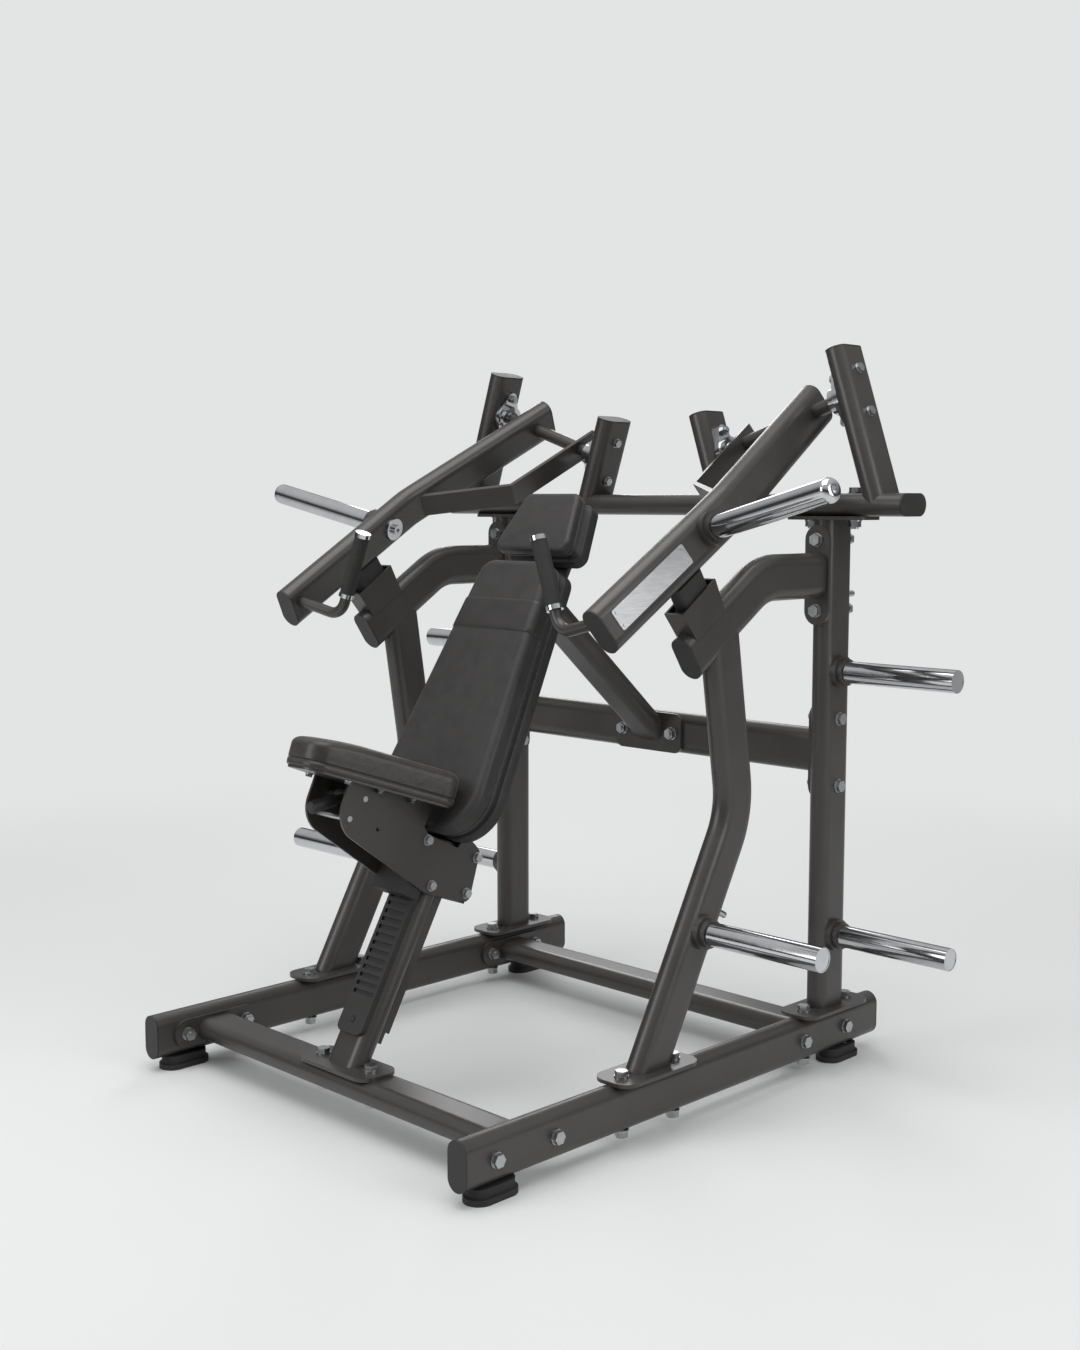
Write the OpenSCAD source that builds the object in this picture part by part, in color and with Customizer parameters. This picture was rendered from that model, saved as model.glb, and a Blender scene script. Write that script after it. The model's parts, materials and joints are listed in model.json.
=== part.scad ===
/* [Tube] */
// Depth of the flat-oval tube, across its long side
tube_d = 100; // [90:1:110]
// Width of the flat-oval tube, across its short side
tube_w = 50; // [45:1:55]
// Wall thickness of the tube
tube_t = 3; // [2:0.5:4]

/* [Base] */
// Length of each side rail over its end caps
rail_len = 1310; // [1200:10:1400]
// Distance between the centre lines of the two side rails
rail_gap = 1028; // [960:4:1100]
// Height of the rubber feet
foot_h = 30; // [20:1:50]
// Length of a foot's base
foot_len = 120; // [100:2:140]
// Width of a foot's base
foot_wid = 62; // [54:1:76]
// Distance of the front feet from the middle of the rails
foot_front = 571; // [500:1:580]
// Distance of the rear feet from the middle of the rails
foot_rear = 531; // [500:1:540]
// Front crossbar, distance in front of the middle
front_bar_y = 502; // [480:1:515]
// Rear crossbar, distance behind the middle
rear_bar_y = 447; // [430:1:450]

/* [Posts] */
// Rear posts, distance behind the middle
post_y = 478; // [470:1:490]
// Height of the top crossbar's centre line
top_z = 1275; // [1240:5:1330]
// Length of the top crossbar over its end caps
top_len = 1440; // [1400:10:1500]
// Height of the middle crossbar's centre line
mid_z = 722; // [700:1:760]
// Front posts, distance in front of the middle at the saddle
front_post_y = 134; // [124:1:144]
// Lean of the front posts below their bend, in degrees
front_lean = 29; // [28:0.5:30]
// Lean of the front posts above their bend, in degrees
front_top_lean = 8.7; // [8:0.1:9.5]
// Radius of the front posts' bend, on the centre line
front_bend_r = 200; // [160:5:230]
// Height of the front posts' bend
front_bend_z = 631; // [620:1:640]

/* [Stop arms] */
// Height of the stop arms' level run
stop_z = 1120; // [1110:1:1130]
// Slope of the stop arms' lower run, in degrees
stop_slope = 33; // [31:0.5:35]
// Radius of the stop arms' bend, on the centre line
stop_bend_r = 150; // [120:5:180]
// Distance behind the middle where the two runs would meet
stop_knee_y = 218; // [210:1:226]
// Length of the lower run, from the knee to the end of the cap
stop_run = 288; // [270:1:300]

/* [Pivot] */
// Lean of the uprights and tilt of the pivot shafts, in degrees
lean = 18.4; // [17:0.1:20]
// Distance of the arm's middle from the machine's middle, at the shaft
pivot_x = 438.9; // [430:0.1:450]
// Height of the shaft at the arm's middle
pivot_z = 1474.4; // [1465:0.1:1484]
// Outer upright, from the arm's middle along the shaft
outer_t = 133; // [128:1:140]
// Inner upright, from the arm's middle along the shaft
inner_t = 273; // [260:1:284]
// Height of the uprights' tops above the shaft
upright_top = 104; // [95:1:120]
// Diameter of the shaft in its bearings
journal_d = 25; // [24:0.5:28]
// Diameter of the shaft between its bearings
shaft_d = 32; // [30:1:36]
// Radial clearance of the shaft in its bearings
shaft_gap = 0.03; // [0.02:0.01:0.08]

/* [Press arms] */
// Slope of the upper half of the arm, in degrees
arm_slope = 30.6; // [30:0.1:31.5]
// Length of the arm in front of the shaft, as far as its bend
arm_upper = 430; // [420:1:440]
// Length of the arm behind the shaft
arm_over = 55; // [45:1:70]
// Length of the arm beyond its bend
arm_lower = 444; // [430:1:470]
// Angle of the arm's inward bend, in degrees
arm_bend = 10.2; // [9.5:0.1:11]
// Radius of the arm's bend, on the centre line
arm_bend_r = 200; // [150:10:300]
// Thickness of the flat brace
brace_t = 9; // [8:0.5:12]
// Depth of the flat brace
brace_w = 58; // [52:1:66]
// Distance of the handle bar from the arm's bend
handle_s = 415; // [400:1:418]
// Diameter of the handle bar
handle_d = 25; // [22:0.5:28]
// Diameter of the grip
grip_d = 34; // [31:0.5:38]
// Length of the grip, with its ring and cap
grip_len = 158; // [140:1:170]

/* [Horns] */
// Diameter of the weight horns
horn_d = 50; // [48:0.5:50.5]
// Length of a storage horn outside its post
horn_len = 299; // [250:1:320]
// Length of an arm horn outside its arm
arm_horn_len = 350; // [300:1:370]
// Diameter of the horns' collars
collar_d = 72; // [66:1:80]
// Thickness of the horns' collars
collar_t = 24; // [18:1:28]
// Height of the upper storage horns on the rear posts
horn_high_z = 904; // [890:1:960]
// Height of the lower storage horns on the rear posts
horn_low_z = 304; // [290:1:400]
// Distance of the front posts' horns along the post, from its foot
horn_front_s = 296; // [280:1:320]

/* [Pads] */
// Recline of the back pad, the head pad and the seat column, in degrees
recline = 29.4; // [29:0.1:30]
// Length of the back pad
back_len = 644; // [600:2:646]
// Half width of the back pad at its widest
back_half = 164; // [150:1:175]
// Thickness of the back cushion
back_soft = 54; // [46:1:60]
// Depth of the recess between the back cushion and its shell
recess = 11; // [8:1:14]
// Thickness of the back pad over everything
back_deep = 95; // [90:1:100]
// Height of the head pad
head_len = 154; // [140:1:170]
// Half width of the head pad at its lower edge
head_half = 114; // [100:1:120]
// How far the head pad's face sits behind the back pad's
head_back = 20; // [12:1:28]
// Gap between the head pad and the back pad
head_gap = 33; // [20:1:45]
// Thickness of the head pad over everything
head_deep = 87; // [80:1:94]
// Extra recline of the head pad, in degrees
head_tilt = 3.6; // [0:0.1:5]
// Height of the name band on the back pad
band_h = 77; // [60:1:90]
// Distance of the back pad's top from the foot of the column
pad_top = 1159; // [1140:1:1180]

/* [Seat] */
// Tilt of the seat, in degrees
seat_tilt = 19.5; // [18:0.1:21]
// Length of the seat cushion
seat_len = 340; // [320:1:350]
// Half width of the seat cushion at its nose
seat_nose = 62; // [56:1:80]
// Half width of the seat cushion at its back
seat_half = 132; // [120:1:150]
// Thickness of the seat cushion
seat_thick = 74; // [60:1:80]
// Number of slots in the rack cover
rack_slots = 13; // [9:1:14]
// Distance between the middles of two slots
slot_pitch = 18; // [16:0.5:19]
// Gap all round between the column and what slides on it
slide_gap = 0.6; // [0.4:0.1:1.2]

/* [Fasteners] */
// Diameter of the frame's bolts
bolt_d = 16; // [14:1:16]
// Radial clearance of the bolts in their holes
bolt_gap = 0.5; // [0.4:0.1:1]
// Distance between the two bolts of a plate
bolt_pair = 157; // [150:1:160]
// Thickness of the bolted plates
plate_t = 8; // [6:0.5:10]

/* [Hidden] */
$fn = 48;

paint = "#4b4947";
chrome = "#c9ccd0";
rubber = "#262626";
leather = "#3a3838";
plastic = "#2f2e2e";
steel = "#b9bcc0";

rail_x = rail_gap / 2;
rail_z = foot_h + tube_d / 2;
rail_top = foot_h + tube_d;
cap_t = 4;
cap_plug = 14;
cap_gap = 0.3;
bolt_r = bolt_d / 2;
hole_r = bolt_r + bolt_gap;
head_af = 1.5 * bolt_d;
head_h = 0.62 * bolt_d;
nut_h = 0.8 * bolt_d;
washer_r = 0.95 * bolt_d;
washer_t = 3;
plate_end_r = 32;
saddle_len = 236;
saddle_wid = 100;
saddle_r = 34;
top_pair = 116;
top_saddle_len = 208;
post_front = post_y - tube_d / 2;
post_top = top_z - tube_w / 2 - plate_t;
mid_pair = 152;
front_saddle_y = front_post_y - 1;
bearing_pair = 99;
bearing_bolt_r = 6;
flange_t = 13;
boss_r = 31;
boss_h = 15;
ring_r = 18;
ring_h = 4;

// A rounded outline walked anticlockwise, each corner given as [x, y, radius].
function tangent(a, b) =
    let (d = [b[0] - a[0], b[1] - a[1]])
    let (l = norm(d))
    let (u = d / l)
    let (k = (a[2] - b[2]) / l)
    let (m = sqrt(1 - k * k) * [u[1], -u[0]] + k * u)
    [[a[0], a[1]] + a[2] * m, [b[0], b[1]] + b[2] * m];

module outline(corners) {
    n = len(corners);
    polygon([for (i = [0 : n - 1]) each tangent(corners[i], corners[(i + 1) % n])]);
    for (c = corners) {
        if (c[2] > 0) translate([c[0], c[1]]) circle(r = c[2]);
    }
}

// Flat-oval section, its long side along Y.
module oval(d, w) {
    square([w, d - w], center = true);
    for (s = [-1, 1]) translate([0, s * (d - w) / 2]) circle(d = w);
}

module rounded(l, w, r) {
    outline([[l / 2 - r, w / 2 - r, r], [-l / 2 + r, w / 2 - r, r],
             [-l / 2 + r, -w / 2 + r, r], [l / 2 - r, -w / 2 + r, r]]);
}

// A length of tube along Z, from z = 0.
module tube(l) {
    difference() {
        linear_extrude(l) oval(tube_d, tube_w);
        translate([0, 0, -1]) linear_extrude(l + 2) oval(tube_d - 2 * tube_t, tube_w - 2 * tube_t);
    }
}

module hole(l, r = hole_r) {
    cylinder(r = r, h = l, center = true);
}

module both() {
    children();
    mirror([1, 0, 0]) children();
}

module end_plate(pair = bolt_pair) {
    linear_extrude(plate_t) difference() {
        outline([[-pair / 2, 0, plate_end_r], [pair / 2, 0, plate_end_r]]);
        for (s = [-1, 1]) translate([s * pair / 2, 0]) circle(r = hole_r);
    }
}

module saddle(l = saddle_len, pair = bolt_pair) {
    linear_extrude(plate_t) difference() {
        rounded(l, saddle_wid, saddle_r);
        for (s = [-1, 1]) translate([s * pair / 2, 0]) circle(r = hole_r);
    }
}

module hex_bolt(l) {
    rotate(30) cylinder(d = head_af / cos(30), h = head_h, $fn = 6);
    translate([0, 0, -l]) cylinder(r = bolt_r, h = l);
}

module washer() {
    difference() {
        cylinder(r = washer_r, h = washer_t);
        translate([0, 0, -1]) cylinder(r = hole_r, h = washer_t + 2);
    }
}

module nut() {
    difference() {
        rotate(30) cylinder(d = head_af / cos(30), h = nut_h, $fn = 6);
        translate([0, 0, -1]) cylinder(r = bolt_r + bolt_gap / 5, h = nut_h + 2);
    }
}

// ---- base ----

module rail() {
    l = rail_len - 2 * cap_t;
    difference() {
        translate([rail_x, l / 2, rail_z]) rotate([90, 0, 0]) tube(l);
        for (y = [-front_bar_y, rear_bar_y], s = [-1, 1]) {
            translate([rail_x, y + s * bolt_pair / 2, rail_z]) rotate([0, 90, 0]) hole(tube_w + 2);
        }
        for (y = [-front_saddle_y, post_y], s = [-1, 1]) {
            translate([rail_x, y + s * bolt_pair / 2, rail_z]) hole(tube_d + 2);
        }
    }
}

module rail_left() {
    color(paint) rail();
}

module rail_right() {
    color(paint) mirror([1, 0, 0]) rail();
}

module foot() {
    base_h = 0.4 * foot_h;
    linear_extrude(base_h) oval(foot_len, foot_wid);
    translate([0, 0, base_h]) linear_extrude(foot_h - base_h) oval(foot_len - 12, foot_wid - 12);
}

module feet() {
    color(rubber) both() {
        translate([rail_x, -foot_front, 0]) foot();
        difference() {
            translate([rail_x, foot_rear, 0]) foot();
            translate([rail_x, post_y + bolt_pair / 2, foot_h / 4]) cylinder(r = washer_r + 2, h = foot_h);
        }
    }
}

module tube_cap() {
    linear_extrude(cap_t) oval(tube_d, tube_w);
    translate([0, 0, -cap_plug]) linear_extrude(cap_plug + 1)
        oval(tube_d - 2 * tube_t - 2 * cap_gap, tube_w - 2 * tube_t - 2 * cap_gap);
}

module tube_caps() {
    color(plastic) both() {
        for (s = [-1, 1]) {
            translate([rail_x, s * (rail_len / 2 - cap_t), rail_z]) rotate([-s * 90, 0, 0]) tube_cap();
        }
        translate([top_len / 2 - cap_t, post_y, top_z]) rotate([0, 90, 0]) tube_cap();
        for (t = [outer_t, -inner_t]) {
            pivot() translate([t, 0, upright_top - cap_t]) tube_cap();
        }
        stop_end() tube_cap();
    }
}

module crossbar(y) {
    inner = rail_x - tube_w / 2 - plate_t;
    translate([-inner, y, rail_z]) rotate([0, 90, 0]) tube(2 * inner);
    both() translate([inner, y, rail_z]) rotate([90, 0, 90]) end_plate();
}

module front_crossbar() {
    color(paint) difference() {
        crossbar(-front_bar_y);
        for (s = [-1, 1]) translate([s * bolt_pair / 2, -front_bar_y, rail_z]) hole(tube_w + 2);
    }
}

module rear_crossbar() {
    color(paint) crossbar(rear_bar_y);
}

// ---- posts ----

module rear_post() {
    difference() {
        union() {
            translate([rail_x, post_y, rail_top + plate_t]) tube(post_top - rail_top - plate_t);
            translate([rail_x, post_y, rail_top]) rotate(90) saddle();
            translate([rail_x, post_y, post_top]) saddle(top_saddle_len, top_pair);
            for (z = [horn_low_z, horn_high_z]) {
                translate([rail_x + tube_w / 2, post_y, z]) rotate([0, 90, 0]) collar();
            }
        }
        for (s = [-1, 1]) {
            translate([rail_x, post_y, mid_z + s * mid_pair / 2]) rotate([0, 90, 0]) hole(tube_w + 2);
            translate([rail_x, post_y, stop_z + s * bolt_pair / 2]) rotate([90, 0, 0]) hole(tube_d + 2);
        }
    }
}

module rear_post_left() {
    color(paint) rear_post();
}

module rear_post_right() {
    color(paint) mirror([1, 0, 0]) rear_post();
}

module mid_crossbar() {
    inner = rail_x - tube_w / 2 - plate_t;
    color(paint) difference() {
        union() {
            translate([-inner, post_y, mid_z]) rotate([90, 0, 0]) rotate([0, 90, 0]) tube(2 * inner);
            both() translate([inner, post_y, mid_z]) rotate([0, 90, 0]) end_plate(mid_pair);
        }
        for (s = [-1, 1]) translate([s * bolt_pair / 2, post_y, mid_z]) rotate([90, 0, 0]) hole(tube_w + 2);
    }
}

module top_crossbar() {
    l = top_len - 2 * cap_t;
    color(paint) difference() {
        translate([-l / 2, post_y, top_z]) rotate([0, 90, 0]) tube(l);
        both() for (s = [-1, 1]) translate([rail_x + s * top_pair / 2, post_y, top_z]) hole(tube_w + 2);
    }
}

// The pivot's own frame: X along the shaft and outwards, Z square to it.
module pivot() {
    translate([pivot_x, post_y, pivot_z]) rotate([0, -lean, 0]) children();
}

module upright(t) {
    foot_drop = (pivot_z - top_z + t * sin(lean)) / cos(lean) + tube_w * tan(lean);
    difference() {
        pivot() translate([t, 0, -foot_drop]) tube(foot_drop + upright_top - cap_t);
        translate([0, post_y, top_z]) rotate([0, 90, 0]) linear_extrude(top_len, center = true)
            oval(tube_d, tube_w);
        translate([0, post_y, top_z - tube_d]) cube([top_len, 2 * tube_d, 2 * tube_d], center = true);
        pivot() for (s = [-1, 1]) {
            translate([t, 0, s * bearing_pair / 2]) rotate([0, 90, 0]) hole(tube_w + 2, bearing_bolt_r + bolt_gap);
        }
    }
}

module uprights() {
    upright(outer_t);
    upright(-inner_t);
}

module uprights_left() {
    color(paint) uprights();
}

module uprights_right() {
    color(paint) mirror([1, 0, 0]) uprights();
}

// Two-bolt flange bearing, its back on the plane z = 0 and its shaft along Z.
module bearing() {
    difference() {
        union() {
            linear_extrude(flange_t) outline([[bearing_pair / 2, 0, 16], [0, 0, 34],
                                              [-bearing_pair / 2, 0, 16], [0, 0, 34]]);
            cylinder(r = boss_r, h = flange_t + boss_h);
            cylinder(r = ring_r, h = flange_t + boss_h + ring_h);
        }
        translate([0, 0, -1]) cylinder(r = journal_d / 2 + shaft_gap, h = flange_t + boss_h + ring_h + 2);
        for (s = [-1, 1]) {
            translate([s * bearing_pair / 2, 0, 0]) hole(3 * flange_t, bearing_bolt_r + bolt_gap);
        }
    }
}

module bearings() {
    color(chrome) both() pivot() {
        translate([outer_t - tube_w / 2, 0, 0]) rotate([0, -90, 0]) bearing();
        translate([tube_w / 2 - inner_t, 0, 0]) rotate([0, 90, 0]) bearing();
    }
}

// Bolt with its washer and nut, its head's seat on the plane z = 0.
module bearing_bolt() {
    g = tube_w + flange_t;
    r = bearing_bolt_r;
    cylinder(r = 2 * r, h = 2);
    translate([0, 0, 2]) rotate(30) cylinder(r = 1.73 * r, h = 1.25 * r, $fn = 6);
    translate([0, 0, -g - 2.2 * r]) cylinder(r = r, h = g + 2.2 * r + 2);
    translate([0, 0, -g - 1.7 * r]) rotate(30) cylinder(r = 1.73 * r, h = 1.7 * r, $fn = 6);
}

module bearing_bolts() {
    color(steel) both() pivot() for (s = [-1, 1]) {
        translate([outer_t + tube_w / 2, 0, s * bearing_pair / 2]) rotate([0, 90, 0]) bearing_bolt();
        translate([-inner_t - tube_w / 2, 0, s * bearing_pair / 2]) rotate([0, -90, 0]) bearing_bolt();
    }
}

// ---- bent tube ----

// Hairline kept open between a bend and the run after it, so that each is a closed solid.
seam = 0.02;

// Two straight runs joined by a bend: up along Z, then turned through a towards -Y.
// With flat true the section's long side lies along X, across the bend.
module path(l1, r, a, l2, d, w, flat = false) {
    turn = flat ? 90 : 0;
    linear_extrude(l1) rotate(turn) oval(d, w);
    translate([0, -r, l1]) {
        rotate([90, 0, 90]) rotate_extrude(angle = a) translate([r, 0]) rotate(90 - turn) oval(d, w);
        rotate([a, 0, 0]) translate([0, r, seam]) linear_extrude(l2 - seam) rotate(turn) oval(d, w);
    }
}

module bent_tube(l1, r, a, l2, flat = false) {
    difference() {
        path(l1, r, a, l2, tube_d, tube_w, flat);
        translate([0, 0, -1]) path(l1 + 1, r, a, l2 + 1, tube_d - 2 * tube_t, tube_w - 2 * tube_t, flat);
    }
}

// ---- stop arms ----

stop_tan = stop_bend_r * tan(stop_slope / 2);
stop_l1 = post_front - plate_t - stop_knee_y - stop_tan;
stop_l2 = stop_run - stop_tan - cap_t;

module stop_frame() {
    translate([rail_x, post_front - plate_t, stop_z]) rotate([90, 0, 0]) children();
}

module stop_end() {
    stop_frame() translate([0, 0, stop_l1 + stop_tan]) rotate([stop_slope, 0, 0])
        translate([0, 0, stop_l2 + stop_tan]) children();
}

// The stop arm's outside, grown by g, for coping what is welded to it.
module stop_core(g) {
    stop_frame() path(stop_l1, stop_bend_r, stop_slope, stop_l2 + cap_t, tube_d + 2 * g, tube_w + 2 * g);
}

// ---- press arm frames ----

arm_tan = arm_bend_r * tan(arm_bend / 2);

module arm_frame() {
    pivot() rotate([arm_slope, 0, 0]) children();
}

// Beyond the bend: -Y along the arm, X out of its outer face.
module lower_frame() {
    arm_frame() translate([0, -arm_upper, 0]) rotate([0, 0, -arm_bend]) children();
}

weld_gap = 0.2;
spigot_step = 1;
horn_start = collar_t + 1;
rest_gap = 0.3;
bumper_half = 17;
bumper_from = 38;
bumper_to = 124;
cup_wall = 4;
cup_half = tube_w / 2;
cup_front = 17;
cup_back = 139;
cup_flare = 8;
cup_h = 50;
cup_floor = 40;
cup_root = 20;

// Above the stop arm's lower run: Y off its crest, Z past the end of its cap.
module stop_crest() {
    stop_end() translate([0, tube_d / 2, cap_t]) children();
}

module cup_slab(corners, from, to) {
    translate([from, 0, 0]) rotate([90, 0, 90]) linear_extrude(to - from)
        polygon([for (c = corners) [c[1], c[0]]]);
}

// Outline of the cup seen from the side, as [along, off the crest], moved in by g.
function cup_side(g) = [
    [-cup_front - g, cup_h + g], [-cup_front - cup_flare - g, -cup_root],
    [-cup_back + cup_flare + g, -cup_root], [-cup_back + g, cup_h + 4 + g]
];

module stop_cup() {
    stop_crest() difference() {
        cup_slab(cup_side(0), -cup_half, cup_half);
        difference() {
            cup_slab(cup_side(cup_wall), cup_wall - cup_half, cup_half - cup_wall);
            translate([-cup_half, -2 * cup_root, -2 * cup_back])
                cube([2 * cup_half, cup_floor + 2 * cup_root, 2 * cup_back]);
        }
        translate([cup_wall - cup_half, -2 * cup_root, -2 * cup_back])
            cube([2 * (cup_half - cup_wall), cup_floor - cup_wall + 2 * cup_root,
                  2 * cup_back - cup_front - cup_flare - cup_wall]);
    }
}

module stop_arm() {
    stop_frame() bent_tube(stop_l1, stop_bend_r, stop_slope, stop_l2);
    translate([rail_x, post_front, stop_z]) rotate([90, 0, 0]) rotate(90) end_plate();
    difference() {
        stop_cup();
        stop_core(-tube_t / 2);
    }
}

module stop_arm_left() {
    color(paint) stop_arm();
}

module stop_arm_right() {
    color(paint) mirror([1, 0, 0]) stop_arm();
}

// ---- front posts ----

post_foot_z = rail_top + plate_t;
front_turn = front_lean + front_top_lean;
front_tan = front_bend_r * tan(front_turn / 2);
front_l1 = (front_bend_z - post_foot_z) / cos(front_lean) - front_tan;
front_sink = 85;
front_l2 = (stop_z - front_bend_z) / cos(front_top_lean) - front_tan - front_sink;

module front_leg() {
    translate([rail_x, -front_post_y, post_foot_z]) rotate([-front_lean, 0, 0]) children();
}

// Stepped collar, its back on the plane z = 0, sunk into a tube's rounded side.
module collar() {
    sink = 4;
    translate([0, 0, -sink]) difference() {
        union() {
            cylinder(d = collar_d, h = sink + collar_t / 2);
            cylinder(d = collar_d - 12, h = sink + collar_t);
        }
        translate([0, 0, sink]) cylinder(r = horn_d / 2 + weld_gap, h = collar_t + 1);
    }
}

module front_post() {
    run_up = 60;
    difference() {
        front_leg() translate([0, 0, -run_up])
            bent_tube(front_l1 + run_up, front_bend_r, front_turn, front_l2);
        translate([rail_x, -front_post_y, post_foot_z - tube_d]) cube([2 * tube_w, 4 * tube_d, 2 * tube_d],
            center = true);
        stop_core(weld_gap);
    }
    translate([rail_x, -front_saddle_y, rail_top]) rotate(90) saddle();
    front_leg() translate([tube_w / 2, 0, horn_front_s]) rotate([0, 90, 0]) collar();
}

module front_post_left() {
    color(paint) front_post();
}

module front_post_right() {
    color(paint) mirror([1, 0, 0]) front_post();
}

// ---- storage horns ----

module at_horns() {
    both() {
        for (z = [horn_low_z, horn_high_z]) {
            translate([rail_x + tube_w / 2, post_y, z]) rotate([0, 90, 0]) children();
        }
        front_leg() translate([tube_w / 2, 0, horn_front_s]) rotate([0, 90, 0]) children();
    }
}

module storage_horns() {
    rim = 2;
    color(chrome) at_horns() difference() {
        union() {
            cylinder(d = horn_d - 2 * spigot_step, h = horn_start + 1);
            translate([0, 0, horn_start]) cylinder(d = horn_d, h = horn_len - horn_start);
        }
        translate([0, 0, horn_len - rim / 2]) cylinder(d = horn_d - 2 * rim, h = rim);
    }
}

module post_pins() {
    pin_r = 7;
    pin_out = 30;
    color(steel) both() {
        translate([rail_x, post_y + tube_d / 2, stop_z - 45]) rotate([-90, 0, 0]) cylinder(r = pin_r, h = pin_out);
        front_leg() translate([0, tube_d / 2, horn_front_s + 60]) rotate([-90, 0, 0])
            cylinder(r = pin_r, h = pin_out);
    }
}

// ---- column, pads and strut ----

column_y = 2 - front_bar_y;
column_foot_z = rail_z + tube_w / 2;
face = 88;
column_top = pad_top - back_len - 10;
head_out = head_back - face;
bar_y = head_out + head_deep * cos(head_tilt) + head_len * sin(head_tilt);
bar_t = 10;
bar_half = 50;
bar_top = pad_top + head_gap + head_len - 30;
strut_slope = 41;

// Z along the column, Y behind its centre line.
module column() {
    translate([0, column_y, column_foot_z]) rotate([-recline, 0, 0]) children();
}

module seat_column() {
    color(paint) {
        difference() {
            column() translate([0, 0, -60]) rotate(90) tube(column_top + 60);
            translate([0, column_y, column_foot_z + plate_t - 2 * tube_d])
                cube([2 * tube_d, 6 * tube_d, 4 * tube_d], center = true);
        }
        column() translate([0, 0, column_top]) linear_extrude(6) rotate(90) oval(tube_d, tube_w);
        translate([0, -front_bar_y, column_foot_z]) saddle();
        slide_strip();
    }
}

cover_out = 34;
cover_back = 12;
cover_half = 40;
cover_foot = 62;
strip_out = 48;
strip_half = 33;
step_out = 37;
slot_w = 64;
slot_h = 9;
slot_s = 150;
screw_s = 92;

module rack_cover() {
    color(plastic) column() {
        difference() {
            translate([0, -cover_back, cover_foot]) rotate([90, 0, 0]) linear_extrude(cover_out - cover_back)
                outline([[cover_half - 16, 16, 16], [cover_half - 2, column_top - cover_foot - 2, 2],
                         [2 - cover_half, column_top - cover_foot - 2, 2], [16 - cover_half, 16, 16]]);
            linear_extrude(column_top + 1) rotate(90) oval(tube_d + 2 * weld_gap, tube_w + 2 * weld_gap);
            for (i = [0 : rack_slots - 1]) {
                translate([-slot_w / 2, -cover_out - 1, slot_s + i * slot_pitch - slot_h / 2])
                    cube([slot_w, 6, slot_h]);
            }
            translate([0, -cover_out + 3, screw_s]) rotate([90, 0, 0]) cylinder(r = 7, h = 10);
        }
        translate([0, -cover_out + 3, screw_s]) rotate([90, 0, 0]) cylinder(r = 5.5, h = 4);
    }
}

module slide_strip() {
    column() difference() {
        union() {
            translate([-strip_half, 12, 90]) cube([2 * strip_half, strip_out - 12, column_top - 90]);
            translate([-strip_half, 12, 64]) cube([2 * strip_half, step_out - 12, 40]);
        }
        translate([0, 0, -1]) linear_extrude(column_top + 2) rotate(90) oval(tube_d - tube_t, tube_w - tube_t);
    }
}

// Head pad's frame: Z up its face, Y behind the face.
module head_frame() {
    column() translate([0, head_out, pad_top + head_gap]) rotate([-head_tilt, 0, 0]) children();
}

module head_outline(inset = 0) {
    r = 24 - inset;
    outline([[head_half - 24, 24, r], [head_half - 50, head_len - 24, r],
             [50 - head_half, head_len - 24, r], [24 - head_half, 24, r]]);
}

module head_slab(from, to, inset = 0) {
    head_frame() translate([0, to, 0]) rotate([90, 0, 0]) linear_extrude(to - from) head_outline(inset);
}

module head_cushion() {
    color(leather) head_slab(0, 36);
}

module head_shell() {
    color(leather) {
        head_slab(36, 36 + 20, 10);
        head_slab(36 + 20, head_deep);
    }
}

module back_outline(inset = 0) {
    r = 40 - inset;
    b = 95 - inset;
    outline([[back_half - 91, -40, r], [91 - back_half, -40, r],
             [95 - back_half, 95 - back_len, b], [back_half - 95, 95 - back_len, b]]);
}

module back_slab(from, to, inset = 0) {
    column() translate([0, to - face, pad_top]) rotate([90, 0, 0]) linear_extrude(to - from) back_outline(inset);
}

module back_cushion() {
    color(leather) back_slab(0, back_soft);
}

module back_shell() {
    color(leather) {
        back_slab(back_soft, back_soft + recess, 10);
        back_slab(back_soft + recess, back_deep);
    }
}

module back_band() {
    band_t = 3;
    band_s = 100;
    color(leather) intersection() {
        difference() {
            back_slab(-band_t, back_soft, -band_t);
            back_slab(0, back_soft + 1);
        }
        column() translate([-back_half - 20, -face - 20, pad_top - band_s - band_h])
            cube([2 * back_half + 40, back_soft + 40, band_h]);
    }
}

module pad_carrier() {
    tab_half = 95;
    tab_h = 50;
    color(paint) {
        difference() {
            column() {
                translate([-bar_half, bar_y, column_top + 6]) cube([2 * bar_half, bar_t, bar_top - column_top - 6]);
                for (s = [pad_top - 110, pad_top - back_len + 150]) {
                    translate([-tab_half, back_deep - face, s - tab_h])
                        cube([2 * tab_half, bar_y - back_deep + face + 1, tab_h]);
                }
                translate([-bar_half, head_out + head_deep, pad_top + head_gap + 40])
                    cube([2 * bar_half, bar_y - head_out - head_deep + 1, 70]);
            }
            head_slab(0, head_deep);
        }
    }
}

strut_y = post_y - tube_w / 2;

module strut() {
    rise = 10;
    color(paint) {
        difference() {
            translate([0, strut_y - plate_t, mid_z + rise]) rotate([90 - strut_slope, 0, 0])
                translate([0, 0, -80]) rotate(90) tube(640);
            translate([-tube_d, strut_y - plate_t, mid_z - 2 * tube_d]) cube(4 * tube_d);
            column() translate([-tube_d, bar_y + bar_t - 4 * tube_d, 0]) cube([2 * tube_d, 4 * tube_d, 15 * tube_d]);
        }
        translate([0, strut_y, mid_z]) rotate([90, 0, 0]) linear_extrude(plate_t) difference() {
            rounded(210, 96, 20);
            for (s = [-1, 1]) translate([s * bolt_pair / 2, 0]) circle(r = hole_r);
        }
    }
}

// ---- frame fasteners ----

short_grip = tube_w + plate_t;
long_grip = tube_d + plate_t;

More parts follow.
